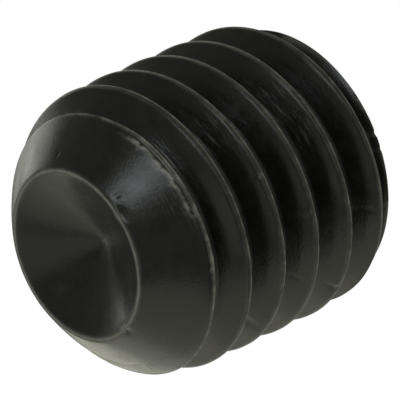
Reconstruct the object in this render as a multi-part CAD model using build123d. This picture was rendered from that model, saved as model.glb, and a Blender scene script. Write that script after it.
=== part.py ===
from build123d import *
import math
import os

# Hexagon-socket set screw with a cup point, one piece of black-oxided alloy steel.
# It stands on its flat socket end: +Z runs up the axis to the cup, and the origin
# is the centre of the socket end face. All sizes are in millimetres.

# thread, right-hand
majorDiameter = 8.0
pitch = 1.25
flankAngle = 60.0                   # between the two flanks of the groove
crestFlat = pitch / 8
rootRadius = 0.18                   # rounding at the bottom of the groove
threadDepth = 0.767
crestHeightAtFront = 6.92           # lower crest corner of the top turn, on the -Y side

# body
screwLength = 8.0
socketEndChamfer = 0.4              # at the flat end, measured inwards from the shank
socketEndChamferLength = 0.75       # the same chamfer, measured along the axis
runOutAngle = 51.0                  # where the last groove climbs out to the end face

# point
rimDiameter = 4.74
rimRound = 0.08                     # rounding of the rim's outer corner
noseAngle = 43.0                    # between the nose cone and the end face
noseConeDiameter = 6.8              # where the cone turns into the round shoulder
cupDiameter = 4.5
cupAngle = 120.0

# hexagon socket
socketAcrossFlats = 4.0
socketDepth = 3.5                   # depth of the full hexagon
socketMouthDiameter = 4.9           # countersink at the mouth
drillAngle = 120.0                  # both the drill's tip and the countersink

majorRadius = majorDiameter / 2


def coneHeight(radius, fullAngle):
    """Height of a cone with this base radius and full angle at its tip."""
    return radius / math.tan(math.radians(fullAngle / 2))


def blankBody():
    """The turned body before threading: plain shank, chamfered end and rounded nose."""
    rimRadius = rimDiameter / 2
    coneRadius = noseConeDiameter / 2
    coneTop = screwLength - (coneRadius - rimRadius) * math.tan(math.radians(noseAngle))
    # the shoulder is an arc, tangent to both the cone and the shank
    turn = math.radians(90 - noseAngle)
    shoulderRadius = (majorRadius - coneRadius) / (1 - math.cos(turn))
    shankTop = coneTop - shoulderRadius * math.sin(turn)
    arcMiddle = (
        majorRadius - shoulderRadius * (1 - math.cos(turn / 2)),
        shankTop + shoulderRadius * math.sin(turn / 2),
    )
    with BuildPart() as body:
        with BuildSketch(Plane.XZ):
            with BuildLine():
                Polyline(
                    (majorRadius, shankTop),
                    (majorRadius, socketEndChamferLength),
                    (majorRadius - socketEndChamfer, 0),
                    (0, 0),
                    (0, screwLength),
                    (rimRadius, screwLength),
                    (coneRadius, coneTop),
                )
                ThreePointArc((coneRadius, coneTop), arcMiddle, (majorRadius, shankTop))
            make_face()
        revolve(axis=Axis.Z)
        rimEdge = body.edges().filter_by(GeomType.CIRCLE).sort_by(Axis.Z)[-1]
        fillet(rimEdge, rimRound)
    return body.part


def threadGroove():
    """One groove that winds up the whole shank and runs out at both ends."""
    crestMiddleAtFront = crestHeightAtFront + crestFlat / 2
    # the helix starts on the +X side, a quarter turn after the -Y side
    grooveMiddle = crestMiddleAtFront - pitch / 2 + pitch / 4
    turnsBelow = math.ceil(grooveMiddle / pitch) + 1
    startHeight = grooveMiddle - turnsBelow * pitch
    turns = math.ceil((screwLength - startHeight) / pitch) + 1

    # half widths of the groove, which narrows inwards from the shank's surface
    slope = math.tan(math.radians(flankAngle / 2))
    minorRadius = majorRadius - threadDepth
    tangentRadius = minorRadius + rootRadius * (1 - math.sin(math.radians(flankAngle / 2)))
    outerRadius = majorRadius + crestFlat / 2
    halfOuter = (pitch - crestFlat) / 2 + (outerRadius - majorRadius) * slope
    halfRoot = (pitch - crestFlat) / 2 - (majorRadius - tangentRadius) * slope

    turnPaths = [
        Helix(pitch, pitch, minorRadius, center=(0, 0, startHeight + turn * pitch))
        for turn in range(turns)
    ]
    with BuildSketch(Plane.XZ) as section:
        with Locations((0, startHeight)):
            with BuildLine():
                Polyline(
                    (tangentRadius, -halfRoot),
                    (outerRadius, -halfOuter),
                    (outerRadius, halfOuter),
                    (tangentRadius, halfRoot),
                )
                ThreePointArc(
                    (tangentRadius, halfRoot),
                    (minorRadius, 0),
                    (tangentRadius, -halfRoot),
                )
            make_face()
    return sweep(section.sketch, path=Wire(turnPaths), is_frenet=True)


def threadRunOut():
    """The sloping floor on which the last groove climbs out to the edge of the flat end."""
    endRadius = majorRadius - socketEndChamfer
    # the top lies just inside the bottom of the groove
    topRadius = majorRadius - threadDepth - 0.03
    height = (endRadius - topRadius) / math.tan(math.radians(runOutAngle))
    return Cone(endRadius, topRadius, height, align=(Align.CENTER, Align.CENTER, Align.MIN))


def cup():
    """The hollow cone in the point, with the rim left standing round it."""
    radius = cupDiameter / 2
    depth = coneHeight(radius, cupAngle)
    tip = Cone(0, radius, depth, align=(Align.CENTER, Align.CENTER, Align.MIN))
    return tip.translate((0, 0, screwLength - depth))


def hexSocket():
    """The wrench socket: a hexagon with a drilled bottom and a countersunk mouth."""
    drillRadius = socketAcrossFlats / 2
    drillTip = coneHeight(drillRadius, drillAngle)
    mouthRadius = socketMouthDiameter / 2
    mouthDepth = coneHeight(mouthRadius, drillAngle)
    onBase = (Align.CENTER, Align.CENTER, Align.MIN)
    with BuildPart() as hole:
        with BuildSketch(Plane.XY):
            RegularPolygon(drillRadius, 6, major_radius=False)
        extrude(amount=socketDepth)
        with Locations((0, 0, socketDepth)):
            Cone(drillRadius, 0, drillTip, align=onBase)
        Cone(mouthRadius, 0, mouthDepth, align=onBase)
    return hole.part


def setScrew():
    """The finished screw, one solid."""
    threaded = blankBody() - threadGroove() + threadRunOut()
    return threaded - cup() - hexSocket()


os.makedirs("parts", exist_ok=True)
screw = setScrew()
export_step(screw, "parts/set_screw.step")
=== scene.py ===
import math

import bpy
import numpy as np
from mathutils import Matrix, Vector


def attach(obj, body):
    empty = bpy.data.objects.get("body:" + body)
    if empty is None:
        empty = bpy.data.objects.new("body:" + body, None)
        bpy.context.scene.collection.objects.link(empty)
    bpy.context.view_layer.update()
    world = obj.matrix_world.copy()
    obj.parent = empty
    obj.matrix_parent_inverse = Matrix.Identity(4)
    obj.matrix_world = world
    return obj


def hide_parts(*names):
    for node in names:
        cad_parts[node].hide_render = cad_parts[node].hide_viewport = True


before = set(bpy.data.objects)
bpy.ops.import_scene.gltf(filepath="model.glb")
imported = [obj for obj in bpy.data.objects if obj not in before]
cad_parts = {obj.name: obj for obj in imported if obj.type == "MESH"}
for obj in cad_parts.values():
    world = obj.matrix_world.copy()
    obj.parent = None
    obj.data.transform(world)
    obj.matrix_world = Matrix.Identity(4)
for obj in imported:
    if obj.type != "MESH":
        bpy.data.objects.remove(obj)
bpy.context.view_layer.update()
mm = 0.001


def srgb(hexColour):
    # sRGB hex to linear, one channel at a time, with full alpha
    values = [int(hexColour[i:i + 2], 16) / 255 for i in (1, 3, 5)]
    return [v / 12.92 if v <= 0.04045 else ((v + 0.055) / 1.055) ** 2.4 for v in values] + [1.0]


cameraSet = dict(
    lens=540,                  # a long lens, so the screw shows almost no perspective
    distance=158.2 * mm,
    elevation=39.27,           # degrees above the floor the screw stands on
    roll=-114.34,              # the camera is turned on its side
    aim=(-0.013 * mm, 0.0, 3.44 * mm),
    sensor=36,                 # millimetres
    nearest=0.01,              # metres
    farthest=10,
)


def cameraAxes(c):
    # right, up and back of the picture, as directions in the scene
    e, t = math.radians(c["elevation"]), math.radians(c["roll"])
    back = Vector((0, -math.cos(e), math.sin(e)))
    levelRight = Vector((1, 0, 0))
    levelUp = back.cross(levelRight)
    right = math.cos(t) * levelRight + math.sin(t) * levelUp
    up = math.cos(t) * levelUp - math.sin(t) * levelRight
    return right, up, back


def makeCamera(c):
    right, up, back = cameraAxes(c)
    data = bpy.data.cameras.new("camera")
    data.lens = c["lens"]
    data.sensor_width = c["sensor"]
    data.clip_start = c["nearest"]
    data.clip_end = c["farthest"]
    data.dof.use_dof = False
    cam = bpy.data.objects.new("camera", data)
    turn = Matrix((right, up, back)).transposed().to_4x4()
    cam.matrix_world = Matrix.Translation(Vector(c["aim"]) + c["distance"] * back) @ turn
    bpy.context.scene.collection.objects.link(cam)
    bpy.context.scene.camera = cam


makeCamera(cameraSet)
print("camera placed")


screw = dict(                  # millimetres and degrees
    length=8.0,
    majorRadius=4.0,
    pitch=1.25,
    threadDepth=0.767,
    crestFlat=0.156,
    crestSeam=0.004,           # depth of the fold that rolling leaves in the crest
    crestSeamWidth=0.025,
    rootRound=0.18,
    flankAngle=60,
    crestFrontZ=6.92,          # lower crest corner of the top turn, on the -Y side
    endChamfer=0.4,            # measured inwards, and then along the axis
    endChamferLength=0.75,
    runOutAngle=51,            # where the last groove climbs out to the end face
    rimRadius=2.37,
    noseAngle=43,
    noseConeRadius=3.4,
    noseCrown=0.03,            # how far the cone bulges at its middle
    cupRadius=2.27,
    cupAngle=120,
    cupTipRound=0.32,
    hexAcross=4.0,
    hexDepth=3.5,
    hexMouthRadius=2.45,
    drillAngle=120,
    cornerSoftness=0.03,       # how far a rolled corner is rounded off
    sharpAngle=42,             # a sharper edge than this is shaded as an edge
    columns=480,               # round the screw, a multiple of 12 for the hexagon
    joinBelow=0.55,            # the thread's strip of faces ends this far below the nose's end
    # how much each edge has rubbed, nought to one, and over what width. A crest that has
    # sunk this far below full height hardly rubs, and dentRim strengthens a dent's edge
    rubbed=dict(
        lowerWidth=0.045, upperWidth=0.03, upper=0.08, between=0.1, sunk=0.6,
        rim=0.4, rimWidth=0.06, end=0.5, dentRim=1.6,
    ),
    # where the die first closed on the blank: a lip pushed out over the top turn, a seam
    # behind it and a ragged burr on the nose side
    lip=dict(fromAngle=-126, toAngle=-46, out=0.05, down=0.045, fadeAbove=0.2, fadeBelow=0.12,
             edgeWidth=0.025, wear=0.5),
    seam=dict(behind=0.065, width=0.03, depth=0.06),
    burr=dict(fromAngle=-93, toAngle=-49, behind=0.15, wander=0.06, width=0.03, height=0.02,
              wear=1.4),
    # handling marks: angle round the screw, height, size, depth and how far it is drawn
    # out round the screw
    dents=[
        (-78, 7.93, 0.035, 0.05, 6), (-68, 7.83, 0.04, 0.03, 2), (-66, 7.6, 0.03, 0.015, 2),
        (-72, 7.52, 0.03, 0.015, 1), (-62, 7.5, 0.03, 0.012, 2), (-94, 6.75, 0.09, 0.05, 1),
        (-91, 4.57, 0.07, 0.04, 1), (-162, 4.62, 0.14, 0.05, 1), (-138, 4.32, 0.06, 0.03, 1),
        (-155, 1.83, 0.09, 0.05, 1), (-165, 7.95, 0.06, 0.04, 2), (-138, 5.77, 0.05, 0.03, 1),
        (-143, 3.36, 0.05, 0.03, 1), (-119, 6.66, 0.05, 0.03, 1), (-16, 7.72, 0.04, 0.02, 1),
        (-112, 3.3, 0.07, 0.03, 1), (20, 4.7, 0.12, 0.04, 1), (75, 2.1, 0.1, 0.04, 1),
        (120, 5.9, 0.12, 0.05, 1), (150, 3.4, 0.08, 0.03, 1), (-30, 2.0, 0.08, 0.03, 1),
        (-124, 0.95, 0.08, 0.04, 1), (-95, 0.0, 0.07, 0.05, 1), (-102, 0.0, 0.06, 0.03, 1),
    ],
    # where screws rubbed together in the box: angle, height and size
    scuffs=[
        (-66, 4.75, 0.55), (-74, 4.4, 0.4), (-63, 2.5, 0.6), (-72, 2.35, 0.6), (-84, 2.3, 0.5),
        (-88, 6.75, 0.5), (-70, 6.9, 0.4), (40, 3.5, 0.8), (130, 2.4, 0.7), (165, 5.8, 0.6),
    ],
)
# rows across one turn of thread: shares of a flank, then millimetres over the crest, and
# how the rows share what the nose adds where it cuts a crest wider
flankRows = np.array([0, 0.15, 0.3, 0.6, 0.9, 0.97])
crestRows = np.array(
    [0, 0.014, 0.03, 0.046, 0.06, 0.071, 0.078, 0.085, 0.096, 0.11, 0.126, 0.142, 0.156]
)
crestStretch = np.array([0, 0, 0, 0.01, 0.025, 0.045, 0.07, 0.1, 0.14, 0.2, 0.32, 0.6, 1])


def slopeOf(degrees):
    return math.tan(math.radians(degrees))


def softMin(a, b, k):
    # the lesser of two, rounded where they cross: the mean, less half the root of the
    # squared difference plus k squared
    return 0.5 * (a + b - np.sqrt((a - b) ** 2 + k * k))


def crestHeight(angle, s):
    # middle of the crest, a pitch higher for each turn. The -Y side, where the height is
    # given, is three quarters of a turn round from +X
    return s["crestFrontZ"] + s["crestFlat"] / 2 + s["pitch"] * (angle / (2 * math.pi) - 0.75)


def noseRadius(z, s):
    # a slightly bulging cone down from the rim, then an arc that meets the shank smoothly,
    # and below that a radius well clear of the thread
    slope = slopeOf(s["noseAngle"])
    turn = math.radians(90 - s["noseAngle"])
    coneTop = s["length"] - (s["noseConeRadius"] - s["rimRadius"]) * slope
    arc = (s["majorRadius"] - s["noseConeRadius"]) / (1 - math.cos(turn))
    shankTop = coneTop - arc * math.sin(turn)
    share = np.clip((z - coneTop) / (s["length"] - coneTop), 0, 1)
    cone = s["rimRadius"] + (s["length"] - z) / slope + s["noseCrown"] * 4 * share * (1 - share)
    lift = np.clip((z - shankTop) / arc, 0, 1)
    dome = s["majorRadius"] - arc * (1 - np.sqrt(1 - lift ** 2))
    clear = s["majorRadius"] + 0.5
    return np.where(z > coneTop, cone, np.where(z > shankTop, dome, clear))


def threadRadius(q, s):
    # radius at q millimetres from the middle of a crest: flat crest with a furrow in it,
    # straight flanks, and a root that is an arc tangent to both flanks
    away = np.abs(q)
    flank = s["majorRadius"] - (away - s["crestFlat"] / 2) / slopeOf(s["flankAngle"] / 2)
    crest = softMin(flank, s["majorRadius"], s["cornerSoftness"])
    crest = crest - s["crestSeam"] * np.exp(-(away / s["crestSeamWidth"]) ** 2)
    fromRoot = s["pitch"] / 2 - away
    r = s["rootRound"]
    root = s["majorRadius"] - s["threadDepth"] + r - np.sqrt(np.maximum(r * r - fromRoot ** 2, 0))
    inRoot = fromRoot < r * math.cos(math.radians(s["flankAngle"] / 2))
    return np.where(inRoot, root, crest)


def bodyRadius(z, crestZ, s):
    # thread, nose and end chamfer together, each crossing rounded a little
    q = np.mod(z - crestZ + s["pitch"] / 2, s["pitch"]) - s["pitch"] / 2
    soft = s["cornerSoftness"] / 2
    endRadius = s["majorRadius"] - s["endChamfer"]
    runOut = endRadius - z * slopeOf(s["runOutAngle"])
    r = -softMin(-threadRadius(q, s), -runOut, soft)
    r = softMin(r, noseRadius(z, s), soft)
    return softMin(r, endRadius + z * s["endChamfer"] / s["endChamferLength"], soft)


def crossing(start, end, test, halvings=26):
    # the height between start and end where a test stops being positive, by halving
    a, b = start.copy(), end.copy()
    for _ in range(halvings):
        middle = (a + b) / 2
        positive = test(middle) > 0
        a = np.where(positive, middle, a)
        b = np.where(positive, b, middle)
    return (a + b) / 2


def threadStrip(s, joinZ):
    # the threaded surface as one strip wound round the screw: along it the angle grows,
    # and its rows run from a root over the crest to the next root, one turn of the screw
    # apart. Heights are held between the end face and joinZ
    n = s["columns"]
    crestFront = s["crestFrontZ"] + s["crestFlat"] / 2
    turnsBelow = math.ceil(crestFront / s["pitch"]) + 1
    turns = turnsBelow + math.ceil((s["length"] - crestFront) / s["pitch"]) + 2
    angle = (2 * math.pi / n) * np.arange(turns * n + 1)
    crestZ = crestHeight(angle - 2 * math.pi * turnsBelow, s)
    rootBelow, rootAbove = crestZ - s["pitch"] / 2, crestZ + s["pitch"] / 2

    def gap(z):
        # how far the nose stands outside the thread at height z
        return noseRadius(z, s) - threadRadius(z - crestZ, s)

    # the crest's two corners, or the edges that the nose cuts instead
    lower, upper = crestZ - s["crestFlat"] / 2, crestZ + s["crestFlat"] / 2
    lower = np.where(gap(lower) < 0, crossing(rootBelow, lower, gap), lower)
    upper = np.where(gap(upper) < 0, crossing(rootAbove, upper, gap), upper)
    extra = np.maximum(upper - lower - s["crestFlat"], 0)
    narrow = np.minimum((upper - lower) / s["crestFlat"], 1)
    up = rootBelow[:, None] + flankRows * (lower - rootBelow)[:, None]
    over = lower[:, None] + crestRows * narrow[:, None] + crestStretch * extra[:, None]
    down = rootAbove[:, None] + flankRows[::-1] * (upper - rootAbove)[:, None]
    z = np.concatenate([up, over, down], axis=1)
    r = bodyRadius(z, crestZ[:, None], s)
    wear = crestWear(z, r, lower, upper, extra, s) * (0.4 + 0.6 * ragged(angle, 2.0)[:, None])
    r, z, wear = rolledLip(r, z, wear, angle, crestZ, lower, s)
    z = np.clip(z, 0, joinZ)
    r = np.where(z >= joinZ, noseRadius(np.float64(joinZ), s), r)
    return angle, z, r, wear


def crestWear(z, r, lower, upper, extra, s):
    # bell curves about the crest's two corners, the lower one stronger, and a little
    # between them where the crest is whole. It falls away where the thread fades out on
    # the nose and stands too low to rub
    w = s["rubbed"]
    onCrest = np.zeros(z.shape)
    onCrest[:, len(flankRows):len(flankRows) + len(crestRows)] = 1
    whole = (extra < s["cornerSoftness"])[:, None]
    atLower = np.exp(-((z - lower[:, None]) / w["lowerWidth"]) ** 2)
    atUpper = np.exp(-((z - upper[:, None]) / w["upperWidth"]) ** 2)
    sunk = s["majorRadius"] - r[:, len(flankRows)]
    high = np.exp(-(sunk / w["sunk"]) ** 8)[:, None]
    return onCrest * high * (atLower + whole * (w["upper"] * atUpper + w["between"]))


def ragged(angle, seed, sines=5):
    # an uneven line: sines of growing frequency round the screw, each weaker than the
    # last, kept between nought and one. The quickest still has over three columns a wave
    frequency = np.round(19 * 1.62 ** np.arange(sines))
    phase = np.sin(seed + 5.3 * np.arange(sines)) * 9
    weight = 0.85 ** np.arange(sines)
    waves = np.sin(angle[..., None] * frequency + phase) * weight
    return np.clip(0.5 + waves.sum(axis=-1) / weight.sum(), 0, 1)


def rolledLip(r, z, wear, angle, crestZ, lower, s):
    # the top turn's lower corner is moved out and down, fading as a bell curve with the
    # distance from it. Behind it a bell-shaped seam is taken away and a ragged bell added
    lip, seam, burr = s["lip"], s["seam"], s["burr"]
    # degrees along the thread, counted from +X on the top turn
    along = 360 * (crestZ - crestHeight(0, s)) / s["pitch"] - 360

    def span(part):
        # one between the two angles, falling away smoothly past them
        middle = (part["fromAngle"] + part["toAngle"]) / 2
        half = (part["toAngle"] - part["fromAngle"]) / 2
        return np.exp(-((along - middle) / half) ** 6)[:, None]

    above = z - lower[:, None]
    near = np.exp(-(above / np.where(above > 0, lip["fadeAbove"], lip["fadeBelow"])) ** 2)
    jag = 0.35 + 0.65 * ragged(angle, 1.0)[:, None]
    place = burr["behind"] + burr["wander"] * (ragged(angle, 4.0)[:, None] - 0.5)
    raised = span(burr) * jag * np.exp(-((above - place) / burr["width"]) ** 2)
    groove = span(lip) * np.exp(-((above - seam["behind"]) / seam["width"]) ** 2)
    r = r + span(lip) * lip["out"] * near - seam["depth"] * groove + burr["height"] * raised
    z = z - span(lip) * lip["down"] * near
    edge = span(lip) * np.exp(-(above / lip["edgeWidth"]) ** 2)
    wear = np.maximum(wear, np.maximum(burr["wear"] * raised, lip["wear"] * edge))
    return r, z, np.clip(wear, 0, 1)


def topRings(s, joinZ):
    # rings from joinZ over the rim into the cup: the height over a radius is the least of
    # the nose cone, the flat rim and the cup's cone, whose tip is rounded. The rings stand
    # close together at the rim and in the tip
    outerR = noseRadius(np.float64(joinZ), s)
    rim, cup, soft = s["rimRadius"], s["cupRadius"], s["cornerSoftness"]
    r = np.concatenate([
        np.linspace(outerR, rim + 0.1, 6),
        np.linspace(rim + 0.07, cup - 0.1, 11),
        np.linspace(cup - 0.2, 0.45, 9),
        np.linspace(0.36, 0, 7),
    ])
    # the cone's bulge is the same one turned on its side
    share = np.clip(1 - (r - rim) / (s["noseConeRadius"] - rim), 0, 1)
    bulge = s["noseCrown"] * 4 * share * (1 - share) * slopeOf(s["noseAngle"])
    nose = s["length"] - (r - rim) * slopeOf(s["noseAngle"]) + bulge
    tip = s["cupTipRound"]
    cupZ = s["length"] - (np.hypot(cup, tip) - np.hypot(r, tip)) / slopeOf(s["cupAngle"] / 2)
    z = softMin(softMin(nose, s["length"], soft), cupZ, soft)
    z[0] = joinZ
    return r, z


def bottomRings(s, angle, endRadius):
    # rings from the bottom of the drilled hole out to the end face, as radius and height
    # over the angle. The hexagon's radius is its half width over the cosine of the angle
    # from the middle of a flat. Each stretch has its rings at shares of its way, close to
    # its ends where an edge is
    half = s["hexAcross"] / 2
    sixth = math.pi / 3
    hexR = half / np.cos(np.mod(angle, sixth) - sixth / 2)
    flat = np.ones_like(angle)
    drillTip = half / slopeOf(s["drillAngle"] / 2)
    mouth = s["hexMouthRadius"]
    mouthZ = (mouth - hexR) / slopeOf(s["drillAngle"] / 2)
    rings = []
    for share in (0, 0.12, 0.4, 0.7, 0.97):
        rings.append((flat * half * share, flat * (s["hexDepth"] + drillTip * (1 - share))))
    for share in (0, 0.5, 0.94):
        rings.append((half + (hexR - half) * share, flat * s["hexDepth"]))
    for share in (0.01, 0.1, 0.4, 0.7, 0.9, 0.99):
        rings.append((hexR, s["hexDepth"] + (mouthZ - s["hexDepth"]) * share))
    for share in (0.06, 0.5, 0.94):
        rings.append((hexR + (mouth - hexR) * share, mouthZ * (1 - share)))
    for share in (0.03, 0.3, 0.6, 0.9, 0.98):
        rings.append((mouth + (endRadius - mouth) * share, 0 * flat))
    return rings


def ringPoints(r, angle, z):
    return np.stack([r * np.cos(angle), r * np.sin(angle), z], axis=-1)


def stitch(low, high):
    # triangles between two rows of vertex numbers, where a shared number closes a corner
    a, b, c, d = low[:-1], low[1:], high[1:], high[:-1]
    tris = np.concatenate([np.stack([a, b, c], 1), np.stack([a, c, d], 1)])
    same = (tris[:, 0] == tris[:, 1]) | (tris[:, 1] == tris[:, 2]) | (tris[:, 2] == tris[:, 0])
    return tris[~same]


def closed(ids):
    return np.append(ids, ids[0])


def screwSurface(s):
    # all parts on one set of columns, so that their edges share vertices
    n = s["columns"]
    joinZ = s["length"] - s["joinBelow"]
    angle, z, r, wear = threadStrip(s, joinZ)
    rows = z.shape[1] - 1
    ringAngle = angle[:n]
    points = [ringPoints(r, angle[:, None], z)[:, :rows].reshape(-1, 3)]
    wears = [wear[:, :rows].reshape(-1)]
    count = len(points[0])

    # what lies past an end is given the number of that end's ring
    lowRing = count + np.arange(n)
    highRing = lowRing + n
    column = (np.arange(len(angle)) % n)[:, None]
    strip = np.arange(count).reshape(-1, rows)
    strip = np.where(z[:, :rows] <= 0, lowRing[column], strip)
    strip = np.where(z[:, :rows] >= joinZ, highRing[column], strip)
    strip = np.concatenate([strip[:-n], strip[n:, :1]], axis=1)
    faces = [stitch(strip[:, k], strip[:, k + 1]) for k in range(rows)]

    endRadius = bodyRadius(np.zeros(n), crestHeight(ringAngle, s), s)
    topR, topZ = topRings(s, joinZ)
    flat = np.ones(n)
    points.append(ringPoints(endRadius, ringAngle, 0 * flat))
    points.append(ringPoints(topR[0], ringAngle, joinZ * flat))
    wears += [s["rubbed"]["end"] * flat, 0 * flat]
    count += 2 * n

    def addRing(ringR, ringZ, ringWear):
        # a ring of n points, or one point where it has shrunk to the axis
        nonlocal count
        onAxis = np.max(ringR) < 1e-9
        ids = np.full(n, count) if onAxis else count + np.arange(n)
        take = slice(0, 1) if onAxis else slice(None)
        points.append(ringPoints(ringR * flat, ringAngle, ringZ * flat)[take])
        wears.append((ringWear * flat)[take])
        count += 1 if onAxis else n
        return ids

    last = highRing
    rimMiddle = (s["rimRadius"] + s["cupRadius"]) / 2
    rimWear = s["rubbed"]["rim"] * np.exp(-((topR - rimMiddle) / s["rubbed"]["rimWidth"]) ** 2)
    for ringR, ringZ, ringWear in zip(topR[1:], topZ[1:], rimWear[1:]):
        ids = addRing(ringR, ringZ, ringWear)
        faces.append(stitch(closed(last), closed(ids)))
        last = ids
    last = None
    for ringR, ringZ in bottomRings(s, ringAngle, endRadius):
        ids = addRing(ringR, ringZ, 0)
        if last is not None:
            faces.append(stitch(closed(last), closed(ids)))
        last = ids
    faces.append(stitch(closed(last), closed(lowRing)))
    return np.concatenate(points), np.concatenate(faces), np.concatenate(wears)


def nearness(points, marks, stretch=1):
    # bell curves of the distance from each mark, round the screw and along it whatever the
    # depth, one column for each. A stretched mark counts distance round the screw for less
    at = np.arctan2(points[:, 1], points[:, 0])[:, None]
    radius = np.hypot(points[:, 0], points[:, 1])[:, None]
    turn = np.mod(at - np.radians(marks[:, 0]) + math.pi, 2 * math.pi) - math.pi
    apart = (turn * radius / stretch) ** 2 + (points[:, 2:] - marks[:, 1]) ** 2
    return np.exp(-apart / marks[:, 2] ** 2)


def handled(points, wear, s):
    # dents pressed in towards the axis, worn round their edges where they cross a crest or
    # the rim, and soft patches of scuffs
    dents = np.array(s["dents"])
    close = nearness(points, dents, dents[:, 4])
    inward = (close * dents[:, 3]).sum(axis=1)[:, None] * np.array([1, 1, 0])
    # the push fades out within half a millimetre of the axis
    radius = np.maximum(np.hypot(points[:, 0], points[:, 1]), 0.5)[:, None]
    points = points - inward * points / radius
    rim = s["rubbed"]["dentRim"] * (close * (1 - close)).max(axis=1)
    scuff = nearness(points, np.array(s["scuffs"])).max(axis=1)
    # a dent's rim is bright only where something has rubbed already
    worn = np.where(wear > 0.02, np.maximum(wear, rim), wear)
    return points, np.clip(worn, 0, 1), scuff


def meshFrom(name, points, faces, values, sharpAngle):
    # vertices that no face uses are left out, and each value becomes a named attribute
    used = np.unique(faces)
    renumber = np.zeros(len(points), np.int64)
    renumber[used] = np.arange(len(used))
    faces = renumber[faces]
    mesh = bpy.data.meshes.new(name)
    mesh.vertices.add(len(used))
    mesh.vertices.foreach_set("co", (points[used] * mm).astype(np.float32).ravel())
    mesh.loops.add(faces.size)
    mesh.loops.foreach_set("vertex_index", faces.astype(np.int32).ravel())
    mesh.polygons.add(len(faces))
    mesh.polygons.foreach_set("loop_start", np.arange(0, faces.size, 3, dtype=np.int32))
    mesh.update(calc_edges=True)
    for key, value in values.items():
        layer = mesh.attributes.new(key, "FLOAT", "POINT")
        layer.data.foreach_set("value", value[used].astype(np.float32))
    mesh.polygons.foreach_set("use_smooth", np.ones(len(faces), bool))
    mesh.set_sharp_from_angle(angle=math.radians(sharpAngle))
    mesh.validate()
    piece = bpy.data.objects.new(name, mesh)
    bpy.context.scene.collection.objects.link(piece)
    return piece


points, faces, wear = screwSurface(screw)
points, wear, scuff = handled(points, wear, screw)
values = dict(wear=wear, scuff=scuff)
setScrew = meshFrom("set_screw_body", points, faces, values, screw["sharpAngle"])
print("screw surface made,", len(setScrew.data.polygons), "triangles")


oxide = dict(                  # sizes in millimetres
    dark="#10110d",
    light="#181914",
    worn="#96958c",            # where the coat is thin and the steel shows
    scuffed="#51514b",
    roughness=(0.19, 0.31),
    scuffDulling=0.12,         # what a scuff adds to the roughness
    patchSize=0.5,             # cloudy patches of the coat
    # the grain that the bath etches and the lines that the rolling die leaves are finer than
    # this on the real screw. They are drawn as coarse as they need to be to show
    grainSize=0.07,
    grainDepth=0.004,
    rollMarkWidth=0.05,
    rollMarkDepth=0.0015,
    rollMarksRound=5,          # how quickly the lines change on their way round the screw
    pitSpacing=0.16,
    pitSize=0.17,              # the widest pit's radius, as a share of the spacing
    pitDepth=0.02,
)


def addNode(tree, kind, links=(), values=(), **settings):
    # one node with its settings, its unlinked inputs and its links
    made = tree.nodes.new(kind)
    for key, value in settings.items():
        setattr(made, key, value)
    for key, value in dict(values).items():
        made.inputs[key].default_value = value
    for key, socket in dict(links).items():
        tree.links.new(socket, made.inputs[key])
    return made


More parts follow.
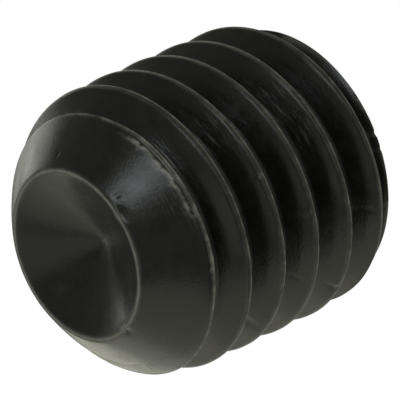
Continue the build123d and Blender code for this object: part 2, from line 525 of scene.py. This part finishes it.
def blackOxideSteel(o):
    # alloy steel, thread rolled, then blacked in a hot oxide bath and oiled. The coat is a
    # thin black mineral layer and not bare metal: nearly black itself, with a soft satin
    # gloss from the oil, and greyer where the edges have rubbed
    material = bpy.data.materials.new("black oxide steel, thread rolled and oiled")
    material.use_nodes = True
    tree = material.node_tree
    shader = tree.nodes["Principled BSDF"]
    place = addNode(tree, "ShaderNodeTexCoord").outputs["Object"]
    worn = addNode(tree, "ShaderNodeAttribute", attribute_name="wear").outputs["Fac"]
    scuffs = addNode(tree, "ShaderNodeAttribute", attribute_name="scuff").outputs["Fac"]

    # marks that run round the screw: slow with the direction from the axis and quick with
    # the distance from it
    level = addNode(tree, "ShaderNodeVectorMath", {0: place}, {1: (1, 1, 0)}, operation="MULTIPLY")
    around = addNode(tree, "ShaderNodeVectorMath", {0: level.outputs[0]}, operation="NORMALIZE")
    apart = addNode(tree, "ShaderNodeVectorMath", {0: around.outputs[0]},
                    {"Scale": o["rollMarksRound"]}, operation="SCALE")
    radius = addNode(tree, "ShaderNodeVectorMath", {0: level.outputs[0]}, operation="LENGTH")
    across = addNode(tree, "ShaderNodeMath", {0: radius.outputs["Value"]},
                     {1: 1 / (o["rollMarkWidth"] * mm)}, operation="MULTIPLY")
    lift = addNode(tree, "ShaderNodeCombineXYZ", {"Z": across.outputs[0]})
    along = addNode(tree, "ShaderNodeVectorMath", {0: apart.outputs[0], 1: lift.outputs[0]},
                    operation="ADD")
    rollMarks = addNode(tree, "ShaderNodeTexNoise", {"Vector": along.outputs[0]},
                        {"Scale": 1, "Detail": 3, "Roughness": 0.6}).outputs["Fac"]

    cloud = addNode(tree, "ShaderNodeTexNoise", {"Vector": place},
                    {"Scale": 1 / (o["patchSize"] * mm), "Detail": 5, "Roughness": 0.6}).outputs["Fac"]
    grain = addNode(tree, "ShaderNodeTexNoise", {"Vector": place},
                    {"Scale": 1 / (o["grainSize"] * mm), "Detail": 3}).outputs["Fac"]
    pitCells = addNode(tree, "ShaderNodeTexVoronoi", {"Vector": place},
                       {"Scale": 1 / (o["pitSpacing"] * mm)}).outputs["Distance"]
    # pits only where the coat is cloudiest: the height is one, and nought inside a pit
    pitted = addNode(tree, "ShaderNodeMapRange", {"Value": cloud},
                     {"From Min": 0.5, "From Max": 0.6, "To Min": 0.0, "To Max": o["pitSize"]})
    pits = addNode(tree, "ShaderNodeMath", {0: pitCells, 1: pitted.outputs["Result"]},
                   operation="GREATER_THAN").outputs[0]

    # colour: cloudy black, then scuffs broken up into specks, then worn edges
    cloudy = addNode(tree, "ShaderNodeMapRange", {"Value": cloud}, {"From Min": 0.35, "From Max": 0.65})
    black = addNode(tree, "ShaderNodeMix", {0: cloudy.outputs[0]},
                    {6: srgb(o["dark"]), 7: srgb(o["light"])}, data_type="RGBA")
    speck = addNode(tree, "ShaderNodeMapRange", {"Value": rollMarks},
                    {"From Min": 0.54, "From Max": 0.66})
    rubbed = addNode(tree, "ShaderNodeMath", {0: speck.outputs[0], 1: scuffs}, operation="MULTIPLY")
    marked = addNode(tree, "ShaderNodeMix", {0: rubbed.outputs[0], 6: black.outputs[2]},
                     {7: srgb(o["scuffed"])}, data_type="RGBA")
    uneven = addNode(tree, "ShaderNodeMapRange", {"Value": cloud},
                     {"From Min": 0.3, "From Max": 0.6, "To Min": 0.35, "To Max": 1.0})
    thin = addNode(tree, "ShaderNodeMath", {0: uneven.outputs[0], 1: worn}, operation="MULTIPLY")
    skin = addNode(tree, "ShaderNodeMix", {0: thin.outputs[0], 6: marked.outputs[2]},
                   {7: srgb(o["worn"])}, data_type="RGBA")
    tree.links.new(skin.outputs[2], shader.inputs["Base Color"])

    low, high = o["roughness"]
    satin = addNode(tree, "ShaderNodeMapRange", {"Value": cloud},
                    {"From Min": 0.3, "From Max": 0.7, "To Min": low, "To Max": high})
    dull = addNode(tree, "ShaderNodeMath", {0: rubbed.outputs[0], 2: satin.outputs[0]},
                   {1: o["scuffDulling"]}, operation="MULTIPLY_ADD")
    tree.links.new(dull.outputs[0], shader.inputs["Roughness"])

    # relief: grain, roll marks and pits, each at its own depth
    fine = addNode(tree, "ShaderNodeBump", {"Height": grain},
                   {"Strength": 1, "Distance": o["grainDepth"] * mm})
    lines = addNode(tree, "ShaderNodeBump", {"Height": rollMarks, "Normal": fine.outputs[0]},
                    {"Strength": 1, "Distance": o["rollMarkDepth"] * mm})
    holes = addNode(tree, "ShaderNodeBump", {"Height": pits, "Normal": lines.outputs[0]},
                    {"Strength": 1, "Distance": o["pitDepth"] * mm})
    tree.links.new(holes.outputs[0], shader.inputs["Normal"])
    return material


setScrew.data.materials.append(blackOxideSteel(oxide))
print("black oxide made")


studio = dict(
    floorHalf=10 * mm,
    floorGap=0.01 * mm,        # the card lies this far below the end face, so the two stay apart
    floorSeen="#ffffff",       # what the camera sees of the floor and the wall
    seen=1.0,
    floorShade="#f0f0ea",      # what the card is to all other light
    room="#fbfff0",
    fill=0.22,                 # brightness of the room on the screw
    # soft panels: direction as right, up and towards the viewer; width in metres;
    # brightness; colour
    panels=dict(
        leftWall=((-0.85, -0.35, -0.2), 0.34, 0.3, "#fffff0"),
        leftPanel=((-0.9, -0.43, -0.03), 0.14, 0.8, "#fffff0"),
        table=((-0.05, -0.97, -0.05), 0.42, 0.55, "#ffffe8"),
        tableBack=((-0.3, -0.75, -0.6), 0.2, 0.36, "#ffffe8"),
        tableEdge=((-0.2, -0.5, -0.85), 0.14, 0.9, "#ffffea"),
        front=((0.35, 0.4, 0.85), 0.4, 0.22, "#fffff6"),
        lowLeft=((-0.6, -0.5, 0.62), 0.16, 0.38, "#fffff0"),
        window=((-0.46, 0.29, 0.84), 0.11, 2.7, "#f4faff"),
        leftBack=((-0.8, 0.1, -0.6), 0.12, 0.08, "#fffff0"),
        upperLeft=((-0.7, 0.3, -0.65), 0.12, 1.2, "#fffff4"),
        edge=((-0.5, 0.18, -0.85), 0.12, 0.6, "#fffff2"),
    ),
    panelDistance=0.3,         # metres from the screw's middle
)


def makeFloor(s):
    # a small matte card under the screw, which the camera sees as plain white
    h, low = s["floorHalf"], -s["floorGap"]
    mesh = bpy.data.meshes.new("floor")
    mesh.from_pydata([(-h, -h, low), (h, -h, low), (h, h, low), (-h, h, low)], [], [(0, 1, 2, 3)])
    floor = bpy.data.objects.new("floor", mesh)
    bpy.context.scene.collection.objects.link(floor)
    material = bpy.data.materials.new("matte white card")
    material.use_nodes = True
    tree = material.node_tree
    tree.nodes.clear()
    ray = addNode(tree, "ShaderNodeLightPath").outputs["Is Camera Ray"]
    card = addNode(tree, "ShaderNodeBsdfDiffuse", values={"Color": srgb(s["floorShade"])})
    white = addNode(tree, "ShaderNodeEmission",
                    values={"Color": srgb(s["floorSeen"]), "Strength": s["seen"]})
    both = addNode(tree, "ShaderNodeMixShader", {0: ray, 1: card.outputs[0], 2: white.outputs[0]})
    addNode(tree, "ShaderNodeOutputMaterial", {"Surface": both.outputs[0]})
    mesh.materials.append(material)


def makeWorld(s):
    # a dim room round the screw, which the camera sees as a plain white wall
    world = bpy.data.worlds.new("studio")
    bpy.context.scene.world = world
    world.use_nodes = True
    tree = world.node_tree
    tree.nodes.clear()
    ray = addNode(tree, "ShaderNodeLightPath").outputs["Is Camera Ray"]
    room = addNode(tree, "ShaderNodeBackground",
                   values={"Color": srgb(s["room"]), "Strength": s["fill"]})
    wall = addNode(tree, "ShaderNodeBackground",
                   values={"Color": srgb(s["floorSeen"]), "Strength": s["seen"]})
    both = addNode(tree, "ShaderNodeMixShader", {0: ray, 1: room.outputs[0], 2: wall.outputs[0]})
    addNode(tree, "ShaderNodeOutputWorld", {"Surface": both.outputs[0]})


def makePanels(s):
    # square area lights facing the screw. Power is brightness times pi times area
    right, up, back = cameraAxes(cameraSet)
    centre = Vector((0, 0, screw["length"] * mm / 2))
    for name, (direction, width, brightness, colour) in s["panels"].items():
        way = (direction[0] * right + direction[1] * up + direction[2] * back).normalized()
        data = bpy.data.lights.new(name, "AREA")
        data.shape = "SQUARE"
        data.size = width
        data.energy = brightness * math.pi * width ** 2
        data.color = srgb(colour)[:3]
        light = bpy.data.objects.new(name, data)
        turn = way.to_track_quat("Z", "Y").to_matrix().to_4x4()
        light.matrix_world = Matrix.Translation(centre + way * s["panelDistance"]) @ turn
        light.visible_camera = False
        bpy.context.scene.collection.objects.link(light)


makeFloor(studio)
makeWorld(studio)
makePanels(studio)
bpy.context.scene.view_settings.view_transform = "Standard"
print("floor, room and panels placed")

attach(setScrew, "root")
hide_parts("set_screw")
bpy.context.view_layer.update()
